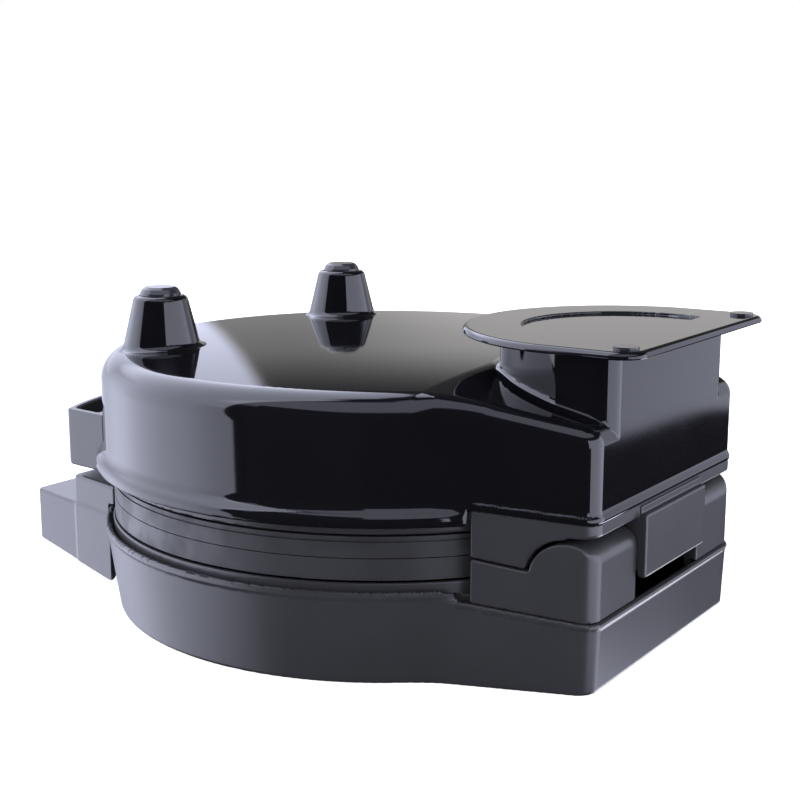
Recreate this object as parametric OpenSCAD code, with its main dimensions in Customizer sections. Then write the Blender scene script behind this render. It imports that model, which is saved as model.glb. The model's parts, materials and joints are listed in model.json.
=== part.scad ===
// Waffle cone maker, shown closed and resting on its lid: the lid half is below,
// the base half with its feet and cord tower is above.
// X runs across, +Y points to the hinge, Z is up. The origin is the centre of
// the round body on the lid's resting face.
// Build all pieces with node = "all", or one piece by its name from NODES.

/* [Body outline] */
// Radius of both cast cooking plates
plate_r = 101.2; // [90:0.1:110]
// Height of the plane where the two plates meet
meet_z = 42; // [38:0.5:48]
// Gap left between the two plate faces when closed
face_gap = 0.3; // [0.2:0.1:1]
// Radius of the lid cover at its resting face
lid_floor_r = 100.4; // [98:0.1:103]
// Radius of the lid cover at its lip
lid_lip_r = 105; // [103.5:0.1:108]
// Height of the lid cover lip on the round side
lid_lip_z = 32; // [30:0.5:33]
// Radius of the base cover wall
base_wall_r = 103; // [102:0.1:104.5]
// Radius of the flared lip of the base cover
base_lip_r = 107.3; // [106:0.1:109]
// Height of the lower edge of the base cover lip
base_lip_z = 53.2; // [52.5:0.1:55]
// Height of the flat deck of the base cover
deck_z = 94; // [88:0.5:100]
// Wall thickness of both moulded covers
wall = 2.4; // [1.6:0.1:3.5]

/* [Hinge block outline] */
// Half width where the block leaves the round wall
block_front_x = 70.5; // [66:0.5:74]
// Y position where the block leaves the round wall
block_front_y = 79; // [76:0.5:82]
// Half width of the block at its rear wall
block_rear_x = 57.8; // [54:0.1:60]
// Y position of the rear wall
block_rear_y = 118.2; // [116:0.1:120]
// Plan radius of the two rear corners
block_corner = 8; // [6:0.5:12]
// Height of the lid rim at the front of the block
lid_rim_front = 28.4; // [27:0.1:30]
// Height of the lid rim at the rear wall
lid_rim_rear = 23.6; // [21:0.1:24.5]
// Height of the base cover edge at the front of the block
base_edge_front = 58.5; // [57:0.1:60]
// Height of the base cover edge at the rear wall
base_edge_rear = 55.3; // [54.5:0.1:57]
// Height of the sloping deck at the front of the block
block_deck_front = 92.5; // [88:0.5:94]
// Height of the sloping deck at the rear wall
block_deck_rear = 84.5; // [78:0.5:90]

/* [Hinge] */
// Y position of the hinge axis
axis_y = 109; // [108.5:0.1:110]
// Height of the hinge axis
axis_z = 38.8; // [38:0.1:39.6]
// Radius of the lid ears around the hinge axis
ear_r = 10.4; // [9.5:0.1:10.6]
// Free space between the ears and the base frame that swings over them
ear_clear = 1.2; // [0.8:0.1:1.4]
// Y position where the side plates of both frames begin
side_plate_y = 81.6; // [80:0.1:84]
// Half width of the centre knuckle of the base frame
knuckle_x = 24.2; // [20:0.1:28]
// Side play between the knuckle and each ear
knuckle_play = 0.6; // [0.3:0.1:1]
// Diameter of the hinge pin
pin_d = 6; // [5:0.5:7]
// Radial fit of the pin in the lid ears
pin_seat = 0.02; // [0.01:0.01:0.1]
// Radial running fit of the pin in its bushes
pin_fit = 0.06; // [0.02:0.01:0.1]
// Wall thickness of the hinge bushes
bush_wall = 1.5; // [1:0.1:2]

/* [Cooking plates] */
// Thickness of each cast plate at its rim
plate_t = 7; // [6.4:0.1:7.6]
// Y position of the flat on the hinge side of the plates
plate_flat_y = 95; // [92:0.5:96]
// Radius of the waffle pattern
waffle_r = 94; // [80:0.5:96]
// Depth of the waffle pattern
waffle_depth = 1.5; // [0.8:0.1:2]
// Spacing of the waffle ridges
waffle_pitch = 14; // [10:0.5:20]
// Width of each waffle ridge
waffle_rib = 2; // [1:0.1:3]

/* [Heating] */
// Radius of the ring heater
heater_r = 62; // [50:0.5:70]
// Diameter of the heater tube
heater_d = 6.6; // [5:0.1:8]
// Opening angle of the heater ring at its terminals
heater_gap = 30; // [20:1:60]
// Thickness of the sheet heat shields
sheet = 0.8; // [0.5:0.1:1.2]
// Height of the insulating spacers between frame and plate
spacer_h = 5; // [4:0.1:5.2]

/* [Cord tower] */
// Radius of the round front of the tower
tower_r = 47.5; // [44:0.5:50]
// Y position of the tower centre
tower_y = 100; // [96:0.5:102]
// Height of the underside of the cord plate
tower_z = 107; // [102:0.5:110]
// Radius of the round front of the cord plate
cord_r = 55.5; // [52:0.5:60]
// Y position of the rear edge of the cord plate
cord_rear_y = 129; // [124:0.5:134]
// Thickness of the cord plate
cord_t = 2.4; // [2:0.1:4]
// Radius of the round recess in the cord plate
label_r = 36; // [25:0.5:40]
// Diameter of the cord bushing
gland_d = 12; // [9:0.5:14]

/* [Feet] */
// Half spacing of the two posts
post_x = 55; // [48:0.5:58]
// Y position of the posts
post_y = -61; // [-64:0.5:-54]
// Height of the rubber caps above the lid's resting face
cap_z = 117.2; // [113:0.1:120]
// Radius of the rubber caps
cap_r = 7.4; // [6:0.1:8]
// Thickness of the rear pads on the cord plate
pad_t = 0.9; // [0.5:0.1:2]

/* [Handles] */
// Y position of the lid handle tip
handle_tip_y = -141; // [-150:0.5:-130]
// Half width of the lid handle at its tip
handle_tip_x = 49; // [40:0.5:54]
// Half width of the lid handle at its root
handle_root_x = 62; // [58:0.5:66]
// Height of the flat finger surface of the lid handle
handle_top_z = 28; // [25:0.5:30]
// Height of the raised root of the lid handle
handle_step_z = 39.5; // [36:0.5:41]
// Radius of the curved front of the base grip
grip_r = 124; // [118:0.5:130]
// Height of the underside of the base grip
grip_z0 = 43.4; // [42.6:0.1:45]
// Height of the open edge of the base grip
grip_z1 = 65; // [62:0.5:68]
// Wall thickness of both handles
grip_wall = 3; // [2:0.1:4]

/* [Fasteners] */
// Diameter of all screw shanks
screw_d = 3; // [2.5:0.1:3.5]
// Diameter of all screw heads
head_d = 6; // [5:0.1:6.5]
// Radial clearance of the screws in their holes
screw_fit = 0.05; // [0.02:0.01:0.1]

/* [Hidden] */
eps = 0.01;
$fn = 64;
AXIS = [0, axis_y, axis_z];
lid_face = meet_z - face_gap / 2;
base_face = meet_z + face_gap / 2;
lid_back = lid_face - plate_t;
base_back = base_face + plate_t;
frame_t = 3;
frame_r = min(lid_floor_r, plate_r) + 0.6;
frame_in = 86;
rim_r = frame_r + 0.9;
rim_h = spacer_h - 0.6;
lid_frame_top = lid_back - spacer_h;
lid_frame_low = lid_frame_top - frame_t;
base_frame_low = base_back + spacer_h;
base_frame_top = base_frame_low + frame_t;
head_h = 1.8;
boss_d = 9;
case_r = 93.2;
case_a = [20, 160, 215, 325];
spacer_r = 91;
spacer_a = [62, 118, 242, 298];
spacer_d = 9;
floor_t = wall;
block_len = block_rear_y - block_front_y;
rim_slope = atan((lid_rim_front - lid_rim_rear) / block_len);
edge_slope = atan((base_edge_front - base_edge_rear) / block_len);
knuckle_face_y = block_rear_y + 2.4;
knuckle_low = 31.2;
knuckle_r = ear_r - 0.6;
bore_end = 51;
band_low = axis_z + ear_r + ear_clear + 0.9;
cap_seat = cap_z - 4.2;
grip_x = 54;
side_x = tower_r - 0.4;
gland_z = 94.4;

// ---------- shared outlines ----------

// Point where a line from p touches a circle of radius r about c
function touch(p, c, r) =
  let (v = c - p, d = norm(v), a = atan2(v[1], v[0]), b = asin(r / d))
  p + sqrt(d * d - r * r) * [cos(a - b), sin(a - b)];

// Unit vector that points straight out of the tapered side of the hinge block
function side_out() =
  let (c = [block_rear_x - block_corner, block_rear_y - block_corner])
  (touch([block_front_x, block_front_y], c, block_corner) - c) / block_corner;

// Front corner of the block's side, moved straight inwards
function front_corner(inset) = [block_front_x, block_front_y] - inset * side_out();

// Plan of the tapered hinge block, shrunk by the inset
module block_plan(inset = 0) {
  r = max(block_corner - inset, 1);
  c = [block_rear_x - inset - r, block_rear_y - inset - r];
  p = front_corner(inset);
  t = touch(p, c, r);
  polygon([[p[0], 10], p, t, c + [0, r], [-c[0], c[1] + r],
           [-t[0], t[1]], [-p[0], p[1]], [-p[0], 10]]);
  for (s = [-1, 1]) translate([s * c[0], c[1]]) circle(r);
}

// Everything under a plane that falls towards the rear of the block
module under_slope(front, rear) {
  slope = atan((front - rear) / block_len);
  translate([0, block_front_y, front]) rotate([-slope, 0, 0])
    translate([-150, -150, -150]) cube([300, 300, 150]);
}

// Everything above a plane that falls towards the rear of the block
module over_slope(front, rear) {
  slope = atan((front - rear) / block_len);
  translate([0, block_front_y, front]) rotate([-slope, 0, 0])
    translate([-150, -150, 0]) cube([300, 300, 150]);
}

// Solid with the block outline between two heights
module block_prism(z0, z1, inset = 0, y0 = 20) {
  intersection() {
    translate([0, 0, z0]) linear_extrude(z1 - z0) block_plan(inset);
    translate([-90, y0, z0 - 1]) cube([180, 120, z1 - z0 + 2]);
  }
}

// Bar along X, centred, at a hinge-relative place
module bar(r, x0, x1) {
  translate([x0, axis_y, axis_z]) rotate([0, 90, 0]) cylinder(r = r, h = x1 - x0);
}

// Places copies of a child on a circle
module on_circle(r, angles) {
  for (a = angles) rotate([0, 0, a]) translate([r, 0, 0]) rotate([0, 0, -a]) children();
}

// Pan head screw pointing down from z = 0, with a cross recess
module screw(len) {
  difference() {
    union() {
      cylinder(d = screw_d, h = len + 0.2);
      translate([0, 0, len]) cylinder(d1 = head_d, d2 = head_d - 1.4, h = head_h);
    }
    for (a = [0, 90]) rotate([0, 0, a])
      translate([-1.7, -0.35, len + head_h - 1]) cube([3.4, 0.7, 1.2]);
  }
}

// Clearance hole for one screw
module hole(len) {
  translate([0, 0, -eps]) cylinder(d = screw_d + 2 * screw_fit, h = len + 2 * eps);
}

// ---------- lid half ----------

// Outer form of the lid cover: a drafted round tub with the hinge block behind it
module lid_form(inset, floor_z) {
  r0 = lid_floor_r - inset;
  r1 = lid_lip_r - inset;
  f = 1.4;
  rotate_extrude($fn = 96) {
    polygon([[0, floor_z], [r0 - f, floor_z], [r0 - 0.3, floor_z + f * 0.7],
             [r0 + (r1 - r0) * 0.1, floor_z + f * 2], [r1 - 0.6, lid_lip_z - 2.6],
             [r1, lid_lip_z - 2], [r1, lid_lip_z], [0, lid_lip_z]]);
  }
  hull() {
    for (s = [-1, 1]) {
      corner_pin(s * (block_rear_x - block_corner), block_rear_y - block_corner,
                 block_corner - inset, floor_z + 0.8, lid_lip_z, 1.6);
      corner_pin(s * front_corner(4)[0], front_corner(4)[1], 4 - inset, floor_z, lid_lip_z, 1.2);
      corner_pin(s * 40, 20, 4, floor_z, lid_lip_z, 1.2);
    }
  }
}

// Upright pin with a chamfered lower edge, used as a hull corner
module corner_pin(x, y, r, z0, z1, f) {
  g = min(f, r - 0.3);
  translate([x, y, z0]) {
    cylinder(r1 = r - g, r2 = r - g * 0.29, h = g * 0.71, $fn = 32);
    translate([0, 0, g * 0.71]) cylinder(r1 = r - g * 0.29, r2 = r, h = g * 0.9, $fn = 32);
    cylinder(r = r - g, h = z1 - z0, $fn = 32);
    translate([0, 0, g * 1.6]) cylinder(r = r, h = z1 - z0 - g * 1.6, $fn = 32);
  }
}

module lid_cover() {
  color([0.12, 0.12, 0.13])
  difference() {
    union() {
      difference() {
        lid_form(0, 0);
        lid_form(wall, floor_t);
        translate([0, 0, lid_lip_z]) cylinder(r = 200, h = 20);
      }
      on_circle(case_r, case_a) cylinder(d = boss_d, h = lid_frame_low);
    }
    intersection() {
      over_slope(lid_rim_front, lid_rim_rear);
      difference() {
        translate([-90, 20, 10]) cube([180, 120, 40]);
        translate([0, 0, 5]) cylinder(r = lid_lip_r + eps, h = 60, $fn = 96);
      }
    }
    on_circle(case_r, case_a) translate([0, 0, lid_frame_low - 12]) hole(20);
    handle_holes();
  }
}

// Two screws pass through the front wall into the handle
handle_screw_x = 32;
handle_screw_z = 15;
handle_screw_y = -92;
module handle_holes() {
  for (s = [-1, 1]) translate([s * handle_screw_x, handle_screw_y, handle_screw_z])
    rotate([90, 0, 0]) hole(40);
}

// Bezel of the lid: mounting ring, side walls and the two hinge ears
module lid_frame() {
  color([0.16, 0.16, 0.17])
  difference() {
    union() {
      translate([0, 0, lid_frame_low]) cylinder(r = frame_r, h = frame_t, $fn = 96);
      translate([0, 0, lid_frame_top - 0.2]) cylinder(r = rim_r, h = rim_h, $fn = 96);
      block_prism(lid_frame_low, lid_frame_top, 3.8, 60);
      intersection() {
        union() {
          side_walls(20, meet_z + 1, axis_y - ear_r + 1);
          ears();
        }
        over_slope(lid_rim_front + 0.05, lid_rim_rear + 0.05);
        union() {
          under_slope(meet_z + 0.9, meet_z - 2.3);
          bar(ear_r, -80, 80);
        }
      }
      lid_skirt();
    }
    translate([0, 0, lid_frame_low - 1]) cylinder(r = frame_in, h = frame_t + 2, $fn = 96);
    translate([0, 0, lid_frame_top]) cylinder(r = rim_r - 1.6, h = 9, $fn = 96);
    translate([-knuckle_x - knuckle_play, axis_y - 16, 0]) cube([2 * (knuckle_x + knuckle_play), 50, 80]);
    on_circle(case_r, case_a) translate([0, 0, lid_frame_low]) hole(frame_t);
    on_circle(spacer_r, spacer_a) translate([0, 0, lid_frame_low]) hole(frame_t);
    bar(pin_d / 2 + pin_seat, -80, bore_end);
  }
}

// Outer walls of the block beside the cast plates, up to a Y position
module side_walls(z0, z1, y1) {
  difference() {
    block_prism(z0, z1, 0.4, side_plate_y);
    block_prism(z0 - 1, z1 + 1, 4.6, 50);
    translate([0, 0, z0 - 1]) cylinder(r = plate_r + 1, h = z1 - z0 + 2, $fn = 96);
    translate([-90, y1, z0 - 1]) cube([180, 60, z1 - z0 + 2]);
  }
}

// Wall that drops from the ears into the lid cover
module lid_skirt() {
  intersection() {
    difference() {
      block_prism(lid_frame_low - 8, lid_frame_low + 1, wall + 0.2, 90);
      block_prism(lid_frame_low - 9, lid_frame_low + 2, wall + 3, 80);
    }
    translate([-90, axis_y - ear_r, 0]) cube([180, 40, lid_frame_low + 1]);
    under_slope(lid_rim_front + 1, lid_rim_rear + 1);
  }
}

module ears() {
  intersection() {
    block_prism(18, axis_z + ear_r + 1, 0.4, axis_y - ear_r);
    union() {
      bar(ear_r, -80, 80);
      translate([-80, axis_y - ear_r, 18]) cube([160, 2 * ear_r, axis_z - 18]);
    }
  }
}

// Cast disc with a flat towards the hinge; the face is at z = 0 and looks up
module plate_body() {
  difference() {
    translate([0, 0, -plate_t]) cylinder(r = plate_r, h = plate_t, $fn = 96);
    translate([-60, plate_flat_y, -plate_t - 1]) cube([120, 20, plate_t + 2]);
    difference() {
      translate([0, 0, -waffle_depth]) cylinder(r = waffle_r, h = waffle_depth + 1, $fn = 96);
      translate([-60, plate_flat_y - 6, -5]) cube([120, 20, 10]);
      waffle_ribs();
    }
    on_circle(spacer_r, spacer_a) translate([0, 0, -plate_t]) hole(plate_t - waffle_depth - 1.2);
  }
  difference() {
    translate([0, 0, -plate_t - heater_d / 2]) ring(heater_r + heater_d * 0.85, heater_r - heater_d * 0.85, heater_d / 2 + eps);
    translate([0, 0, -plate_t - heater_d / 2]) rotate_extrude($fn = 96)
      translate([heater_r, 0]) circle(d = heater_d + 0.3, $fn = 32);
    rotate([0, 0, 90]) translate([heater_r, 0, -plate_t - 6])
      cube([2 * heater_d, 2 * heater_r * sin(heater_gap / 2) + 2 * heater_d, 12], center = true);
  }
}

module ring(ro, ri, h) {
  difference() {
    cylinder(r = ro, h = h, $fn = 96);
    translate([0, 0, -1]) cylinder(r = ri, h = h + 2, $fn = 96);
  }
}

// Crossing ridges left standing in the waffle recess
module waffle_ribs() {
  n = floor(waffle_r / waffle_pitch);
  for (a = [0, 90]) rotate([0, 0, a + 45])
    for (i = [-n : n])
      translate([i * waffle_pitch - waffle_rib / 2, -waffle_r - 1, -waffle_depth - 1])
        cube([waffle_rib, 2 * waffle_r + 2, waffle_depth + 0.6]);
}

module lid_plate() {
  color([0.3, 0.3, 0.31]) translate([0, 0, lid_face]) plate_body();
}

// Ring heater hanging under a plate back at z = 0; its ends turn down
module heater_body() {
  zc = -heater_d / 2;
  a = heater_gap / 2;
  translate([0, 0, zc]) rotate([0, 0, 90 + a])
    rotate_extrude(angle = 360 - heater_gap, $fn = 96) translate([heater_r, 0]) circle(d = heater_d, $fn = 32);
  for (s = [-1, 1]) rotate([0, 0, 90 + s * a]) translate([heater_r, 0, zc]) {
    sphere(d = heater_d + 0.4, $fn = 32);
    translate([0, 0, -6]) cylinder(d = heater_d, h = 6);
    translate([0, 0, -13]) cylinder(d = 2.4, h = 8);
  }
}

module lid_heater() {
  color([0.45, 0.43, 0.4]) translate([0, 0, lid_back - 0.02]) heater_body();
}

// Shallow sheet pan under the mounting ring at z = 0
module shield_body() {
  pan = 5.4;
  difference() {
    union() {
      translate([0, 0, -sheet]) ring(95.2, frame_in - 3, sheet);
      translate([0, 0, -pan]) ring(frame_in - 3 + eps, frame_in - 3 - sheet, pan);
      translate([0, 0, -pan]) ring(frame_in - 3, 17, sheet);
    }
    on_circle(case_r, case_a) translate([0, 0, -2]) cylinder(d = boss_d + 1.6, h = 4);
    on_circle(spacer_r, spacer_a) translate([0, 0, -2]) hole(4);
    for (s = [-1, 1]) rotate([0, 0, 90 + s * heater_gap / 2])
      translate([heater_r, 0, -pan - 1]) cylinder(d = heater_d + 3, h = 4);
    translate([-50, axis_y - 22, -10]) cube([100, 30, 20]);
  }
}

module lid_shield() {
  color([0.7, 0.71, 0.72]) translate([0, 0, lid_frame_low]) shield_body();
}

module spacer_body() {
  difference() {
    cylinder(d = spacer_d, h = spacer_h);
    hole(spacer_h);
  }
}

module lid_spacers() {
  color([0.85, 0.83, 0.75])
    on_circle(spacer_r, spacer_a) translate([0, 0, lid_frame_top]) spacer_body();
}

plate_screw_len = sheet + frame_t + spacer_h + plate_t - waffle_depth - 1.6;
module lid_plate_screws() {
  color([0.6, 0.6, 0.6]) on_circle(spacer_r, spacer_a)
    translate([0, 0, lid_frame_low - sheet + plate_screw_len]) rotate([180, 0, 0]) screw(plate_screw_len);
}

module lid_frame_screws() {
  color([0.6, 0.6, 0.6]) on_circle(case_r, case_a)
    translate([0, 0, lid_frame_top - frame_t - 10]) screw(frame_t + 10);
}

// Plan of the lid handle from tip to root
module handle_plan(inset = 0) {
  root_y = -82;
  tip = handle_tip_y + inset;
  polygon([[-handle_tip_x + inset, tip], [handle_tip_x - inset, tip],
           [handle_root_x - inset, root_y], [handle_root_x - inset, -60],
           [-handle_root_x + inset, -60], [-handle_root_x + inset, root_y]]);
}

// Cone of the lid cover wall, grown by a gap
module lid_cone(gap) {
  cylinder(r1 = lid_floor_r + gap, r2 = lid_lip_r - 0.6 + gap, h = lid_lip_z - 2.6, $fn = 96);
  translate([0, 0, lid_lip_z - 2.6 - eps]) cylinder(r = lid_lip_r + gap, h = 2.6 + gap + eps, $fn = 96);
  cylinder(r = plate_r + 1.6, h = 60, $fn = 96);
}

module lid_handle() {
  step_y = -111;
  rise = atan(6.2 / 59);
  color([0.14, 0.14, 0.15])
  difference() {
    union() {
      linear_extrude(handle_top_z) handle_plan();
      intersection() {
        linear_extrude(handle_step_z) handle_plan();
        translate([-80, step_y, 0]) cube([160, 80, 60]);
      }
    }
    lid_cone(0.2);
    translate([0, -82, 0]) rotate([-rise, 0, 0]) translate([-90, -90, -20]) cube([180, 90, 20.4]);
    translate([0, -82, 0]) translate([-90, 0, -20]) cube([180, 90, 20.4]);
    difference() {
      union() {
        translate([0, 0, 9]) linear_extrude(handle_top_z - 9 - grip_wall) handle_plan(grip_wall);
      }
      for (s = [-1, 1]) translate([s * handle_screw_x - 5, -125, 0]) cube([10, 60, 60]);
      translate([-80, -150, 0]) cube([160, 24, 60]);
    }
    for (s = [-1, 1]) translate([s * handle_screw_x, -80, handle_screw_z]) rotate([90, 0, 0]) hole(31.5);
  }
}

module handle_screws() {
  wall_y = -sqrt(pow(lid_floor_r + (lid_lip_r - lid_floor_r) * handle_screw_z / lid_lip_z - wall, 2)
                 - handle_screw_x * handle_screw_x);
  color([0.6, 0.6, 0.6]) for (s = [-1, 1])
    translate([s * handle_screw_x, wall_y + 1.4 - 16, handle_screw_z]) rotate([-90, 0, 0]) screw(16);
}

module hinge_pin() {
  color([0.75, 0.75, 0.76]) bar(pin_d / 2, -54, bore_end - 0.4);
}

// Plug that closes the bore on the far side, trimmed to the block outline
module pin_plug() {
  color([0.13, 0.13, 0.14]) intersection() {
    bar(pin_d / 2, -80, -54.4);
    block_prism(axis_z - 10, axis_z + 10, 0.4, 90);
  }
}

// Thermal fuse in a clip under the shield
module fuse_body() {
  rotate([90, 0, 0]) translate([0, 0, -8]) cylinder(d = 4.4, h = 16);
  difference() {
    translate([-3.4, -4, -0.6]) cube([6.8, 8, 3.2]);
    rotate([90, 0, 0]) translate([0, 0, -5]) cylinder(d = 4.4, h = 10);
  }
}

module lid_fuse() {
  color([0.8, 0.8, 0.82]) translate([40, 20, lid_frame_low - 5.4 - 2.6]) fuse_body();
}

// Bent lead: straight tubes joined by slightly larger ball crimps
module lead(points, d) {
  for (i = [0 : len(points) - 2]) {
    v = points[i + 1] - points[i];
    translate(points[i]) rotate([0, acos(v[2] / norm(v)), atan2(v[1], v[0])])
      cylinder(d = d, h = norm(v), $fn = 16);
    if (i > 0) translate(points[i]) sphere(d = d * 1.3, $fn = 16);
  }
}

module lid_leads() {
  tx = heater_r * sin(heater_gap / 2);
  ty = heater_r * cos(heater_gap / 2);
  tz = lid_back - heater_d / 2 - 13;
  color([0.75, 0.2, 0.15]) {
    lead([[tx, ty, tz], [tx, ty, 9], [30, 84, 9], [30, 100, 12]], 2.2);
    lead([[-tx, ty, tz], [-tx, ty, 9], [30, 50, 9], [40, 32, 12], [40, 29.3, lid_frame_low - 8]], 2.2);
  }
}

// ---------- base half ----------

// Outer form of the base cover without the posts
module base_form(inset) {
  r = base_wall_r - inset;
  top = deck_z - inset;
  f = 9 - inset;
  rotate_extrude($fn = 96) {
    translate([0, base_lip_z]) square([r, top - f - base_lip_z]);
    translate([0, base_lip_z]) square([r - f, top - base_lip_z]);
    translate([r - f, top - f]) circle(r = f, $fn = 64);
    polygon([[0, base_lip_z], [base_lip_r - inset, base_lip_z], [base_lip_r - inset, base_lip_z + 3.4],
             [base_lip_r - inset - 1.2, base_lip_z + 4.8], [r, base_lip_z + 7.6], [0, base_lip_z + 7.6]]);
  }
  block_hull(inset);
  tower(inset);
}

// Hinge block under the sloping deck, with soft upper edges
module block_hull(inset) {
  f = 5 - inset;
  z1 = block_deck_front - inset;
  z2 = block_deck_rear - inset;
  cr = block_corner - 1;
  hull() {
    for (s = [-1, 1]) {
      soft_pin(s * (block_rear_x - 1.2 - cr), block_rear_y - 0.8 - cr, cr - inset, base_edge_rear - 6, z2, f);
      soft_pin(s * front_corner(7.2)[0], front_corner(7.2)[1], 6 - inset, base_edge_rear - 6, z1, f);
      soft_pin(s * 40, 30, 5, base_edge_rear - 6, z1, f);
    }
  }
}

// Upright pin with a rounded upper edge, used as a hull corner
module soft_pin(x, y, r, z0, z1, f) {
  g = min(f, r);
  translate([x, y, z0]) {
    cylinder(r = r, h = z1 - g - z0, $fn = 32);
    for (k = [0 : 3]) {
      a0 = k * 22.5;
      a1 = a0 + 22.5;
      translate([0, 0, z1 - g - z0 + g * sin(a0)])
        cylinder(r1 = r - g + g * cos(a0), r2 = r - g + g * cos(a1), h = g * (sin(a1) - sin(a0)), $fn = 32);
    }
  }
}

// Prism with a round front about the tower centre, straight sides and soft rear corners
module d_prism(r, rear, c, h) {
  x = r - 0.4;
  intersection() {
    union() {
      translate([0, tower_y, 0]) cylinder(r = r, h = h, $fn = 96);
      translate([-r - 5, tower_y, 0]) cube([2 * r + 10, 60, h]);
    }
    translate([0, 0, -1]) linear_extrude(h + 2) {
      translate([-x, tower_y - r - 5]) square([2 * x, r + 5 + rear - c - tower_y]);
      translate([-x + c, tower_y]) square([2 * x - 2 * c, rear - tower_y]);
      for (s = [-1, 1]) translate([s * (x - c), rear - c]) circle(c);
    }
  }
}

module tower(inset) {
  translate([0, 0, 70]) tower_inside(inset, tower_z - 70 + (inset > 0 ? 1 : 0));
}

// Moulded post on the deck that carries a rubber cap
module post(inset = 0) {
  rotate_extrude($fn = 64)
    polygon([[0, deck_z - 8], [15 - inset, deck_z - 8], [15 - inset, deck_z - 0.6],
             [13.9 - inset, deck_z + 0.6], [13.2 - inset, deck_z + 2],
             [9.9 - inset, cap_seat - 2 - inset], [9.4 - inset, cap_seat - 0.8 - inset],
             [8.4 - inset, cap_seat - inset], [0, cap_seat - inset]]);
}

module base_cover() {
  color([0.03, 0.03, 0.035])
  difference() {
    union() {
      difference() {
        union() {
          base_form(0);
          lip_band();
          for (s = [-1, 1]) translate([s * post_x, post_y, 0]) post();
        }
        difference() {
          base_form(wall);
          translate([-90, -120, 40]) cube([180, 250, 13.2]);
        }
        translate([-150, -150, 40]) cube([300, 300, base_lip_z - 40]);
        for (s = [-1, 1]) translate([s * post_x, post_y, 0]) post(wall);
      }
      on_circle(case_r, case_a) translate([0, 0, base_frame_top]) cylinder(d = boss_d, h = deck_z - 1 - base_frame_top);
    }
    intersection() {
      under_slope(base_edge_front, base_edge_rear);
      difference() {
        translate([-90, 20, 40]) cube([180, 120, 40]);
        difference() {
          cylinder(r = base_lip_r + eps, h = 120, $fn = 96);
          translate([-90, side_plate_y - 0.3, 0]) cube([180, 60, 120]);
        }
      }
    }
    on_circle(case_r, case_a) translate([0, 0, base_frame_top - 1]) hole(13);
    for (s = [-1, 1]) {
      translate([s * post_x, post_y, cap_seat - 5]) cylinder(d = 6.1, h = 10);
      translate([s * grip_screw_x, -88, grip_screw_z]) rotate([90, 0, 0]) hole(30);
    }
    gland_bore(gland_d / 2 + 0.1);
  }
}

// Flared lip that runs round the lower edge of the block
module lip_band() {
  difference() {
    block_prism(base_edge_rear - 4, base_edge_front + 3, 0, 60);
    block_prism(base_edge_rear - 5, base_edge_front + 4, 1.4, 50);
    over_slope(base_edge_front + 2.2, base_edge_rear + 2.2);
    cylinder(r = base_lip_r - wall, h = 100, $fn = 96);
  }
}

module gland_bore(r) {
  translate([-side_x - 10, tower_y + 4, gland_z]) rotate([0, 90, 0]) cylinder(r = r, h = 20);
}

// Bezel of the base: mounting ring, stepped side plates, rear band and knuckle
module base_frame() {
  color([0.16, 0.16, 0.17])
  difference() {
    union() {
      translate([0, 0, base_frame_low]) cylinder(r = frame_r, h = frame_t, $fn = 96);
      translate([0, 0, base_frame_low + 0.2 - rim_h]) cylinder(r = rim_r, h = rim_h, $fn = 96);
      block_prism(base_frame_low, base_frame_top, wall + 1.5, 60);
      difference() {
        intersection() {
          side_walls(meet_z - 4, base_edge_front + 1, 200);
          under_slope(base_edge_front - 0.05, base_edge_rear - 0.05);
          over_slope(meet_z + 1.5, meet_z - 1.7);
        }
        bar(ear_r + ear_clear, -90, 90);
        translate([-90, axis_y, 0]) cube([180, 40, band_low]);
      }
      knuckle();
    }
    translate([0, 0, base_frame_low - 1]) cylinder(r = frame_in, h = frame_t + 2, $fn = 96);
    translate([0, 0, base_frame_low - 9]) cylinder(r = rim_r - 1.6, h = 9, $fn = 96);
    on_circle(case_r, case_a) translate([0, 0, base_frame_low]) hole(frame_t);
    on_circle(spacer_r, spacer_a) translate([0, 0, base_frame_low]) hole(frame_t);
    bar(pin_d / 2 + pin_fit + bush_wall, -knuckle_x - 1, knuckle_x + 1);
    translate([-knuckle_x + 8, axis_y - 7, axis_z - 6]) cube([2 * knuckle_x - 16, 14, 13]);
  }
}

// Barrel, neck and outer cover plate between the lid ears
module knuckle() {
  x = knuckle_x;
  bar(knuckle_r, -x, x);
  translate([-x, axis_y - knuckle_r, axis_z]) cube([2 * x, 2 * knuckle_r, base_frame_low + 1 - axis_z]);
  translate([-x, knuckle_face_y - 3, knuckle_low]) cube([2 * x, 3, band_low + 1.4 - knuckle_low]);
  translate([-x, axis_y, axis_z]) cube([2 * x, knuckle_face_y - 1 - axis_y, band_low + 1.4 - axis_z]);
}

module base_plate() {
  color([0.3, 0.3, 0.31]) difference() {
    translate([0, 0, base_face]) mirror([0, 0, 1]) plate_body();
    translate([0, 0, base_back - 1.9]) ring(plate_r + 1, plate_r - 0.5, 0.6);
  }
}

module base_heater() {
  color([0.45, 0.43, 0.4]) translate([0, 0, base_back + 0.02]) mirror([0, 0, 1]) heater_body();
}

module base_shield() {
  color([0.7, 0.71, 0.72]) translate([0, 0, base_frame_top]) mirror([0, 0, 1]) shield_body();
}

module base_spacers() {
  color([0.85, 0.83, 0.75])
    on_circle(spacer_r, spacer_a) translate([0, 0, base_back]) spacer_body();
}

module base_plate_screws() {
  color([0.6, 0.6, 0.6]) on_circle(spacer_r, spacer_a)
    translate([0, 0, base_frame_top + sheet - plate_screw_len]) screw(plate_screw_len);
}

module base_frame_screws() {
  color([0.6, 0.6, 0.6]) on_circle(case_r, case_a)
    translate([0, 0, base_frame_low + frame_t + 10]) rotate([180, 0, 0]) screw(frame_t + 10);
}

grip_screw_x = 30;
grip_screw_z = 61.8;

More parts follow.
